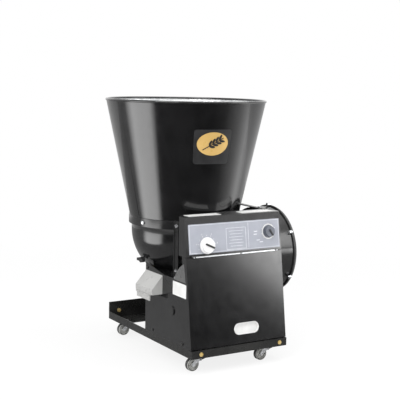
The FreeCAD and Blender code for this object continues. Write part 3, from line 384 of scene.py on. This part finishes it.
NODE_FINISH = {
    BLACK: ("left_panel", "right_panel", "rear_panel", "cabinet_top", "front_posts", "control_box",
            "front_door", "hopper_band", "lower_funnel", "husk_outlet", "feed_duct", "hinge_strip",
            "bearing_units"),
    STAY_SATIN_AND_SHEEN: ("hopper_stays", "panel_screws"),
    BASE_BLACK: ("base_pan", "motor_rails"),
    DRUM_BLACK: ("drum_casing", "fan_rotor"),
    GUSSET_GREY: ("side_gusset",),
    CHUTE_PALE: ("rice_spout", "spout_flap"),
    MOTOR_GREY: ("motor",),
    INSIDE_ZINC: ("funnel_floor",),
    PANEL_GREY: ("control_plate",),
    DIAL_WHITE: ("feed_dial",),
    DIAL_GREY: ("air_dial",),
    PULL_WHITE: ("door_pull",),
    KNOB_BLACK: ("cleanout_knob", "brake_pedal_fl", "brake_pedal_fr"),
    URETHANE: ("drum_liner",),
    ZINC: ("hopper_bolts", "drum_bolts"),
    GOLD_ZINC: ("base_bolts",),
    CHROME: ("castor_plates",) + tuple(kind + corner for corner in ("fl", "fr", "rl", "rr")
                                       for kind in ("castor_fork_", "castor_axle_")),
    STEEL: ("impeller", "impeller_shaft", "motor_shaft", "feed_shutter", "air_damper"),
    COVER_GREY: ("drum_cover",),
    IRON: ("impeller_pulley", "motor_pulley", "fan_pulley"),
    RUBBER: ("drive_belt", "fan_belt"),
    NYLON: tuple("castor_wheel_" + corner for corner in ("fl", "fr", "rl", "rr")),
}


def dress_nodes():
    """Gives each CAD node its finish."""
    for material, names in NODE_FINISH.items():
        for name in names:
            mesh = NODES[name].data
            mesh.materials.clear()
            mesh.materials.append(material)


# Making pieces

def piece(name, bm, materials, body, smooth=True):
    """Turns a finished bmesh into a piece that rides on a body."""
    mesh = bpy.data.meshes.new(name)
    bm.to_mesh(mesh)
    bm.free()
    for material in materials:
        mesh.materials.append(material)
    if smooth:
        mesh.shade_smooth()
        mesh.set_sharp_from_angle(angle=SHARP)
    thing = bpy.data.objects.new(name, mesh)
    bpy.context.scene.collection.objects.link(thing)
    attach(thing, body)
    return thing


def lathe(points, centre, steps=ROUND):
    """A closed profile of (radius, height) points spun round an upright axis."""
    bm = bmesh.new()
    ring = [bm.verts.new((centre.x + r, centre.y, h)) for r, h in points]
    edges = [bm.edges.new((a, b)) for a, b in zip(ring, ring[1:] + ring[:1])]
    bmesh.ops.spin(bm, geom=ring + edges, cent=(centre.x, centre.y, 0), axis=UP, angle=2 * pi,
                   steps=steps, use_merge=True)
    bmesh.ops.remove_doubles(bm, verts=bm.verts, dist=1e-6)
    bmesh.ops.recalc_face_normals(bm, faces=bm.faces)
    return bm


def slab(width, height, thickness, corner, cuts=0):
    """A flat plate in the XY plane with round corners, cut across so that it can be bent."""
    bm = bmesh.new()
    bmesh.ops.create_grid(bm, x_segments=1, y_segments=1, size=0.5)
    bmesh.ops.scale(bm, vec=(width, height, 1), verts=bm.verts)
    if corner:
        bmesh.ops.bevel(bm, geom=bm.verts[:], offset=corner, affect="VERTICES", segments=6, profile=0.5,
                        material=-1)
    thicken(bm, thickness)
    slice_across(bm, width, cuts)
    return bm


def disc(width, height, thickness, cuts=0, segments=48):
    """A flat oval plate in the XY plane."""
    bm = bmesh.new()
    bmesh.ops.create_circle(bm, cap_ends=True, cap_tris=False, segments=segments, radius=0.5)
    bmesh.ops.scale(bm, vec=(width, height, 1), verts=bm.verts)
    thicken(bm, thickness)
    slice_across(bm, width, cuts)
    return bm


def thicken(bm, thickness):
    """Pulls a flat shape up into a plate."""
    made = bmesh.ops.extrude_face_region(bm, geom=bm.faces[:])
    top = [v for v in made["geom"] if isinstance(v, bmesh.types.BMVert)]
    bmesh.ops.translate(bm, vec=(0, 0, thickness), verts=top)
    bmesh.ops.recalc_face_normals(bm, faces=bm.faces)


def slice_across(bm, width, cuts):
    """Cuts a plate across at even steps of its width."""
    for i in range(1, cuts + 1):
        x = width * (i / (cuts + 1) - 0.5)
        bmesh.ops.bisect_plane(bm, geom=bm.verts[:] + bm.edges[:] + bm.faces[:], plane_co=(x, 0, 0),
                               plane_no=(1, 0, 0))


def lay(bm, centre, across, up, turn=0.0):
    """Moves a flat plate from the XY plane on to a face, its middle at centre."""
    out = across.cross(up)
    frame_axes = Matrix((across, up, out)).transposed().to_4x4()
    bmesh.ops.transform(bm, matrix=Matrix.Translation(centre) @ frame_axes @ Matrix.Rotation(turn, 4, "Z"),
                        verts=bm.verts)
    return bm


def add(bm, other):
    """Joins a second bmesh into the first."""
    mesh = bpy.data.meshes.new("joined")
    other.to_mesh(mesh)
    other.free()
    bm.from_mesh(mesh)
    bpy.data.meshes.remove(mesh)
    return bm


# Hopper

HOPPER = middle("hopper_cone")
RIM_R = span("hopper_cone").x / 2 - RIM_ROLL + SHELL_T / 2
RIM_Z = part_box("hopper_cone")[1].z - RIM_ROLL
NECK_R = span("hopper_band").x / 2 - BAND_T
SLOPE = (RIM_R - NECK_R) / (RIM_Z - NECK_Z)


def cone_point(angle, z, out):
    """A point on the hopper's outer wall, raised by out."""
    tilt = atan(SLOPE)
    r = NECK_R + SLOPE * (z - NECK_Z) + out * cos(tilt)
    return Vector((HOPPER.x + r * cos(angle), HOPPER.y + r * sin(angle), z - out * sin(tilt)))


def wrap(bm, angle, z):
    """Bends a flat plate on to the hopper's wall, its middle at that angle and height."""
    tilt = atan(SLOPE)
    r = NECK_R + SLOPE * (z - NECK_Z)
    for v in bm.verts:
        v.co = cone_point(angle + v.co.x / r, z + v.co.y * cos(tilt), v.co.z)
    return bm


def hopper_shell():
    """The hopper with its rolled rim: enamel outside, bare zinc inside."""
    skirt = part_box("hopper_cone")[0].z
    roll = [(RIM_R - SHELL_T / 2 + RIM_ROLL * cos(a), RIM_Z + RIM_ROLL * sin(a))
            for a in [radians(-80 + 20 * i) for i in range(18)]]
    outer = [(NECK_R, skirt), (NECK_R, NECK_Z), (RIM_R, RIM_Z - RIM_ROLL)]
    inner = [(RIM_R - SHELL_T, RIM_Z - RIM_ROLL), (NECK_R - SHELL_T, NECK_Z), (NECK_R - SHELL_T, skirt)]
    bm = lathe(outer + roll + inner, HOPPER)
    bm.normal_update()
    for face in bm.faces:
        spot = face.calc_center_median()
        inward = face.normal.x * (spot.x - HOPPER.x) + face.normal.y * (spot.y - HOPPER.y) < 0
        face.material_index = 1 if inward and spot.z < RIM_Z - RIM_ROLL / 2 else 0
    shell = piece("hopper_shell", bm, (BLACK, INSIDE_ZINC), "machine")
    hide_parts("hopper_cone")


def hopper_seam():
    """The lapped seam where the rolled sheet meets."""
    height = (RIM_Z - NECK_Z) / cos(atan(SLOPE)) - 3 * RIM_ROLL
    bm = wrap(slab(SEAM_W, height, SEAM_T, 0, cuts=4), SEAM_ANGLE, (RIM_Z + NECK_Z) / 2)
    piece("hopper_seam", bm, (BLACK,), "machine")


def stay_bolts():
    """The bolts at the feet of the two front stays."""
    bm = bmesh.new()
    r = NECK_R + BAND_T + SHELL_T + 2 * LIFT
    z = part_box("cabinet_top")[1].z + STAY_BOLT_Z
    for angle in STAY_ANGLES:
        out = Vector((cos(angle), sin(angle), 0))
        spot = Vector((HOPPER.x, HOPPER.y, z)) + out * r
        add(bm, lay(disc(STAY_BOLT_W, STAY_BOLT_W, STAY_BOLT_T, segments=24), spot, UP.cross(out), UP))
    piece("stay_bolts", bm, (ZINC,), "machine")


def badge():
    """A charcoal plate with a gold oval and an ear of grain lying across it."""
    bm = wrap(slab(BADGE_W, BADGE_H, BADGE_T, BADGE_CORNER, cuts=11), BADGE_ANGLE, BADGE_Z)
    piece("badge_plate", bm, (BADGE_DARK,), "machine")
    oval = disc(OVAL_W, OVAL_H, 2 * BADGE_T, cuts=9, segments=64)
    bmesh.ops.translate(oval, vec=(0, OVAL_RISE, 0), verts=oval.verts)
    piece("badge_oval", wrap(oval, BADGE_ANGLE, BADGE_Z), (GOLD_FOIL,), "machine")
    ear = slab(EAR_L, EAR_STEM, 3 * BADGE_T, 0, cuts=11)
    for i in range(GRAIN_ROWS):
        for side in (-1, 1):
            grain = disc(GRAIN_L, GRAIN_W, 3 * BADGE_T, cuts=3, segments=24)
            lean = Matrix.Rotation(side * GRAIN_LEAN, 4, "Z")
            place = Matrix.Translation((GRAIN_START + GRAIN_PITCH * i, side * GRAIN_W, 0))
            bmesh.ops.transform(grain, matrix=place @ lean, verts=grain.verts)
            add(ear, grain)
    bmesh.ops.rotate(ear, matrix=Matrix.Rotation(EAR_TURN, 3, "Z"), verts=ear.verts)
    bmesh.ops.translate(ear, vec=(0, OVAL_RISE, 0), verts=ear.verts)
    piece("badge_ear", wrap(ear, BADGE_ANGLE, BADGE_Z), (BADGE_DARK,), "machine")


# Control face

PANEL = middle("control_plate") + FACE_OUT * PLATE_OUT


def on_panel(u, v):
    """A point on the control plate's face."""
    return PANEL + ACROSS * u + FACE_UP * v


def dial_place(node):
    """Where a dial's middle lies on the control plate, across and up."""
    centre = middle(node)
    return centre.x - PANEL.x, (centre - PANEL).dot(FACE_UP)


def panel_mark(bm, width, height, u, v, turn=0.0):
    """Adds a printed bar on the control plate."""
    return add(bm, lay(slab(width, height, MARK_T, 0), on_panel(u, v), ACROSS, FACE_UP, turn))


def panel_chart():
    """The plate's border, a framed table of plain rules, and the marks of the two dials' fields."""
    bm = bmesh.new()
    for side in (-1, 1):
        panel_mark(bm, CHART_W, LINE_W, CHART_U, CHART_V + side * CHART_H / 2)
        panel_mark(bm, LINE_W, CHART_H, CHART_U + side * CHART_W / 2, CHART_V)
    for i in range(1, CHART_ROWS):
        v = CHART_V + CHART_H * (i / CHART_ROWS - 0.5)
        panel_mark(bm, CHART_W * (CHART_SHORT if i % 2 else CHART_LONG), LINE_W, CHART_U, v)
    tall = span("control_plate").z / cos(FRONT_LEAN)
    panel_mark(bm, LINE_W, tall * DIVIDER_SHARE, DIVIDER_U, 0)
    edge = span("control_plate").x / 2 - BORDER
    for side in (-1, 1):
        panel_mark(bm, LINE_W, tall - 2 * BORDER, side * edge, 0)
    panel_mark(bm, 2 * edge, LINE_W, 0, tall / 2 - BORDER)
    dial, _ = dial_place("feed_dial")
    clear = span("feed_dial").x / 2
    for u0, u1 in ((-edge, dial - clear), (dial + clear, edge)):
        panel_mark(bm, u1 - u0, LINE_W, (u0 + u1) / 2, BORDER - tall / 2)
    for u, v in AIR_MARKS:
        panel_mark(bm, AIR_MARK_W, AIR_MARK_H, u, v)
    piece("panel_chart", bm, (PANEL_PRINT,), "machine", smooth=False)


def dial_scale(node, ticks):
    """Ticks round a dial on the panel."""
    u, v = dial_place(node)
    r = span(node).x / 2 + TICK_GAP + TICK_L / 2
    bm = bmesh.new()
    for i in range(ticks):
        a = DIAL_FIRST + (DIAL_LAST - DIAL_FIRST) * i / (ticks - 1)
        length = TICK_L if i % 2 == 0 else TICK_L * TICK_SHORT
        panel_mark(bm, TICK_W, length, u + r * sin(a), v + r * cos(a), -a)
    piece(node + "_scale", bm, (PLATE_WHITE,), "machine", smooth=False)


def dial_pointer(node, turn, reach):
    """A raised pointer bar across the dial's face, which turns with the dial."""
    r = span(node).x / 2
    centre = middle(node)
    depth = max((v.co - centre).dot(FACE_OUT) for v in NODES[node].data.vertices)
    bm = slab(r * POINTER_W, r * reach, POINTER_T, r * POINTER_CORNER)
    bmesh.ops.translate(bm, vec=(0, r * (POINTER_END - reach / 2), 0), verts=bm.verts)
    lay(bm, centre + FACE_OUT * (depth + LIFT), ACROSS, FACE_UP, turn)
    piece(node + "_pointer", bm, (INK,), node)


def air_dial_ring():
    """A pale ring printed round the right dial."""
    r = span("air_dial").x / 2
    bm = bmesh.new()
    bmesh.ops.create_circle(bm, segments=64, radius=r * RING_OUT)
    outer = bm.edges[:]
    bmesh.ops.create_circle(bm, segments=64, radius=r * RING_IN)
    inner = [e for e in bm.edges if e not in outer]
    bmesh.ops.bridge_loops(bm, edges=outer + inner)
    thicken(bm, MARK_T)
    lay(bm, on_panel(*dial_place("air_dial")), ACROSS, FACE_UP)
    piece("air_dial_ring", bm, (PLATE_WHITE,), "machine", smooth=False)


def feed_numbers():
    """The figures round the left dial."""
    u, v = dial_place("feed_dial")
    r = span("feed_dial").x / 2 + TICK_L + FIGURE_OUT
    whole = bmesh.new()
    for figure in FIGURES:
        a = DIAL_FIRST + (DIAL_LAST - DIAL_FIRST) * figure / FULL_FIGURE
        text = bpy.data.curves.new("figure", "FONT")
        text.body = str(figure)
        text.size = FIGURE_H
        text.align_x = "CENTER"
        text.align_y = "CENTER"
        text.extrude = MARK_T / 2
        holder = bpy.data.objects.new("figure", text)
        bpy.context.scene.collection.objects.link(holder)
        bpy.context.view_layer.update()
        mesh = bpy.data.meshes.new_from_object(holder.evaluated_get(bpy.context.evaluated_depsgraph_get()))
        bm = bmesh.new()
        bm.from_mesh(mesh)
        bpy.data.objects.remove(holder)
        bpy.data.meshes.remove(mesh)
        bmesh.ops.remove_doubles(bm, verts=bm.verts, dist=1e-6)
        bmesh.ops.translate(bm, vec=(0, 0, MARK_T / 2), verts=bm.verts)
        add(whole, lay(bm, on_panel(u + r * sin(a), v + r * cos(a)), ACROSS, FACE_UP))
    piece("feed_numbers", whole, (PLATE_WHITE,), "machine", smooth=False)


def hinge_trim():
    """Bright strips along the two lengths of the hinge, and a rivet at each end."""
    low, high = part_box("hinge_strip")
    front = Vector((0, low.y, low.z + HINGE_R)) + FACE_OUT * LIFT
    half = HINGE_BREAK / 2
    lengths = ((low.x + STRIP_END, HINGE_BREAK_X - half), (HINGE_BREAK_X + half, high.x - STRIP_END))
    bm = bmesh.new()
    for x0, x1 in lengths:
        spot = front + ACROSS * ((x0 + x1) / 2)
        add(bm, lay(slab(x1 - x0, STRIP_H, STRIP_T, STRIP_CORNER), spot, ACROSS, FACE_UP))
    for x in (low.x + STRIP_END / 2, high.x - STRIP_END / 2):
        add(bm, lay(disc(RIVET_W, RIVET_W, RIVET_T, segments=24), front + ACROSS * x, ACROSS, FACE_UP))
    piece("hinge_trim", bm, (TRIM,), "machine")


# Bare plates

def bare_plates():
    """Blank plates on the control box's lid and on the left panel."""
    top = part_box("control_box")[1]
    bm = bmesh.new()
    for x, width in LID_PLATES:
        spot = Vector((x, LID_PLATE_Y, top.z + LIFT))
        add(bm, lay(slab(width, LID_PLATE_L, BARE_T, BARE_CORNER), spot, ACROSS, BACK))
    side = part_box("left_panel")[0].x
    spot = Vector((side - LIFT, SIDE_PLATE_Y, SIDE_PLATE_Z))
    add(bm, lay(slab(SIDE_PLATE_W, SIDE_PLATE_H, BARE_T, BARE_CORNER), spot, -BACK, UP))
    piece("bare_plates", bm, (PLATE_WHITE,), "machine", smooth=False)


# Castor wheels

def wheel_treads():
    """A soft tread round each castor wheel."""
    for corner in ("fl", "fr", "rl", "rr"):
        node = "castor_wheel_" + corner
        centre = middle(node)
        r = span(node).z / 2
        half = span(node).y / 2
        profile = [(r - TREAD_T, -half), (r - TREAD_SOFT, -half), (r + LIFT, -half + TREAD_SOFT),
                   (r + LIFT, half - TREAD_SOFT), (r - TREAD_SOFT, half), (r - TREAD_T, half)]
        bm = lathe(profile, Vector((0, 0, 0)), 64)
        bmesh.ops.rotate(bm, matrix=Matrix.Rotation(radians(90), 3, "X"), verts=bm.verts)
        bmesh.ops.translate(bm, vec=centre, verts=bm.verts)
        piece("castor_tread_" + corner, bm, (TREAD,), "wheel_" + corner)


# Studio

def glow_material(name, gradient, stops, strength, place=(0, 0, 0), turn=0.0):
    """Light that follows a gradient over a card: stops are (position, level), from position 0 to 1."""
    material = bpy.data.materials.new(name)
    material.use_nodes = True
    tree = material.node_tree
    tree.nodes.remove(tree.nodes["Principled BSDF"])
    coords = tree.nodes.new("ShaderNodeTexCoord")
    mapping = tree.nodes.new("ShaderNodeMapping")
    mapping.inputs["Location"].default_value = place
    mapping.inputs["Rotation"].default_value = (0, 0, turn)
    texture = tree.nodes.new("ShaderNodeTexGradient")
    texture.gradient_type = gradient
    ramp = tree.nodes.new("ShaderNodeValToRGB")
    marks = ramp.color_ramp.elements
    marks[0].color = (*[stops[0][1]] * 3, 1)
    marks[1].color = (*[stops[-1][1]] * 3, 1)
    for position, level in stops[1:-1]:
        marks.new(position).color = (level, level, level, 1)
    glow = tree.nodes.new("ShaderNodeEmission")
    glow.inputs["Strength"].default_value = strength
    tree.links.new(coords.outputs["Object"], mapping.inputs["Vector"])
    tree.links.new(mapping.outputs["Vector"], texture.inputs["Vector"])
    tree.links.new(texture.outputs["Fac"], ramp.inputs["Fac"])
    tree.links.new(ramp.outputs["Color"], glow.inputs["Color"])
    tree.links.new(glow.outputs["Emission"], tree.nodes["Material Output"].inputs["Surface"])
    return material


def card(name, width, height, material, matrix):
    """A card that only shows in reflections, as a studio's bright and dark cards do."""
    bm = bmesh.new()
    bmesh.ops.create_grid(bm, x_segments=1, y_segments=1, size=0.5)
    bmesh.ops.scale(bm, vec=(width, height, 1), verts=bm.verts)
    mesh = bpy.data.meshes.new(name)
    bm.to_mesh(mesh)
    bm.free()
    mesh.materials.append(material)
    thing = bpy.data.objects.new(name, mesh)
    thing.matrix_world = matrix
    bpy.context.scene.collection.objects.link(thing)
    thing.visible_camera = False
    thing.visible_diffuse = False
    thing.visible_shadow = False
    thing.visible_transmission = False


def floor_card():
    """The floor's reflection round the hopper: bright on the left, dark in front, grey on the right."""
    stops = []
    for azimuth, level in FLOOR_LEVELS:
        stops.append((azimuth / 360 + 0.5, level))
    glow = glow_material("floor_card", "RADIAL", stops, FLOOR_CARD_GLOW)
    card("floor_card", FLOOR_CARD, FLOOR_CARD, glow, Matrix.Translation((HOPPER.x, HOPPER.y, FLOOR_CARD_Z)))
    dull = glow_material("near_card", "LINEAR", ((0, NEAR_LEVEL), (1, NEAR_LEVEL)), 1.0)
    card("near_card", NEAR_CARD, NEAR_CARD, dull, Matrix.Translation((HOPPER.x, HOPPER.y, NEAR_CARD_Z)))


def door_card():
    """A card at the front right that grades the door from dark at its lower left to grey at its top right."""
    door = middle("front_door")
    at = Vector((door.x + DOOR_AWAY * cos(DOOR_AZIMUTH), door.y + DOOR_AWAY * sin(DOOR_AZIMUTH), DOOR_CARD_Z))
    upright = Matrix.Rotation(DOOR_AZIMUTH - pi / 2, 4, "Z") @ Matrix.Rotation(pi / 2, 4, "X")
    glow = glow_material("door_card", "LINEAR", DOOR_LEVELS, DOOR_CARD_GLOW, (0.5, 0, 0), DOOR_CARD_TURN)
    card("door_card", DOOR_CARD_W, DOOR_CARD_H, glow, Matrix.Translation(at) @ upright)


def studio_floor():
    """A white floor that the camera sees fade into the background, with the machine's shadow on it."""
    bm = bmesh.new()
    bmesh.ops.create_grid(bm, x_segments=1, y_segments=1, size=30)
    mesh = bpy.data.meshes.new("floor")
    bm.to_mesh(mesh)
    bm.free()
    material = bpy.data.materials.new("floor_white")
    material.use_nodes = True
    tree = material.node_tree
    shader = tree.nodes["Principled BSDF"]
    shader.inputs["Base Color"].default_value = (0.95, 0.95, 0.95, 1)
    shader.inputs["Roughness"].default_value = 0.9
    shader.inputs["Specular IOR Level"].default_value = 0.0
    place = tree.nodes.new("ShaderNodeTexCoord")
    away = tree.nodes.new("ShaderNodeVectorMath")
    away.operation = "LENGTH"
    tree.links.new(place.outputs["Object"], away.inputs[0])
    fade = tree.nodes.new("ShaderNodeMapRange")
    fade.inputs["From Min"].default_value = FLOOR_NEAR
    fade.inputs["From Max"].default_value = FLOOR_FAR
    fade.inputs["To Min"].default_value = FLOOR_GLOW
    tree.links.new(away.outputs["Value"], fade.inputs["Value"])
    seen = tree.nodes.new("ShaderNodeLightPath")
    share = tree.nodes.new("ShaderNodeMath")
    share.operation = "MULTIPLY"
    tree.links.new(seen.outputs["Is Camera Ray"], share.inputs[0])
    tree.links.new(fade.outputs["Result"], share.inputs[1])
    glow = tree.nodes.new("ShaderNodeEmission")
    mix = tree.nodes.new("ShaderNodeMixShader")
    tree.links.new(share.outputs["Value"], mix.inputs["Fac"])
    tree.links.new(shader.outputs["BSDF"], mix.inputs[1])
    tree.links.new(glow.outputs["Emission"], mix.inputs[2])
    tree.links.new(mix.outputs["Shader"], tree.nodes["Material Output"].inputs["Surface"])
    mesh.materials.append(material)
    floor = bpy.data.objects.new("floor", mesh)
    bpy.context.scene.collection.objects.link(floor)


def studio_world():
    """A white room, dimmer for the light that it gives than for what is seen and reflected."""
    world = bpy.data.worlds.new("studio")
    bpy.context.scene.world = world
    world.use_nodes = True
    tree = world.node_tree
    back = tree.nodes["Background"]
    seen = tree.nodes.new("ShaderNodeLightPath")
    either = tree.nodes.new("ShaderNodeMath")
    either.operation = "MAXIMUM"
    tree.links.new(seen.outputs["Is Camera Ray"], either.inputs[0])
    tree.links.new(seen.outputs["Is Glossy Ray"], either.inputs[1])
    level = tree.nodes.new("ShaderNodeMapRange")
    level.inputs["To Min"].default_value = WORLD_FILL
    level.inputs["To Max"].default_value = 1.0
    tree.links.new(either.outputs["Value"], level.inputs["Value"])
    back.inputs["Color"].default_value = (1, 1, 1, 1)
    tree.links.new(level.outputs["Result"], back.inputs["Strength"])


def softbox(name, at, size, watts):
    """A square lamp that looks at the machine."""
    lamp = bpy.data.lights.new(name, "AREA")
    lamp.shape = "SQUARE"
    lamp.size = size
    lamp.energy = watts
    thing = bpy.data.objects.new(name, lamp)
    thing.location = at
    thing.rotation_mode = "QUATERNION"
    thing.rotation_quaternion = (LAMP_AIM - at).to_track_quat("-Z", "Y")
    thing.visible_camera = False
    bpy.context.scene.collection.objects.link(thing)


def studio():
    """The floor, the room, the lamps and the cards."""
    studio_floor()
    studio_world()
    for name, at, size, watts in LAMPS:
        softbox(name, at, size, watts)
    floor_card()
    door_card()


def camera():
    """The camera that took the photograph."""
    lens = bpy.data.cameras.new("camera")
    lens.lens = CAMERA_LENS
    lens.sensor_width = CAMERA_SENSOR
    thing = bpy.data.objects.new("camera", lens)
    turn = (Matrix.Rotation(CAMERA_YAW, 4, "Z") @ Matrix.Rotation(pi / 2 - CAMERA_DOWN, 4, "X")
            @ Matrix.Rotation(CAMERA_ROLL, 4, "Z"))
    thing.matrix_world = Matrix.Translation(CAMERA_AT) @ turn
    bpy.context.scene.collection.objects.link(thing)
    bpy.context.scene.camera = thing


dress_nodes()
hopper_shell()
hopper_seam()
stay_bolts()
badge()
panel_chart()
dial_scale("feed_dial", FEED_TICKS)
dial_scale("air_dial", AIR_TICKS)
dial_pointer("feed_dial", FEED_POINTER_TURN, FEED_POINTER_L)
dial_pointer("air_dial", AIR_POINTER_TURN, AIR_POINTER_L)
hinge_trim()
air_dial_ring()
feed_numbers()
bare_plates()
wheel_treads()
studio()
camera()
bpy.context.scene.view_settings.view_transform = "Standard"
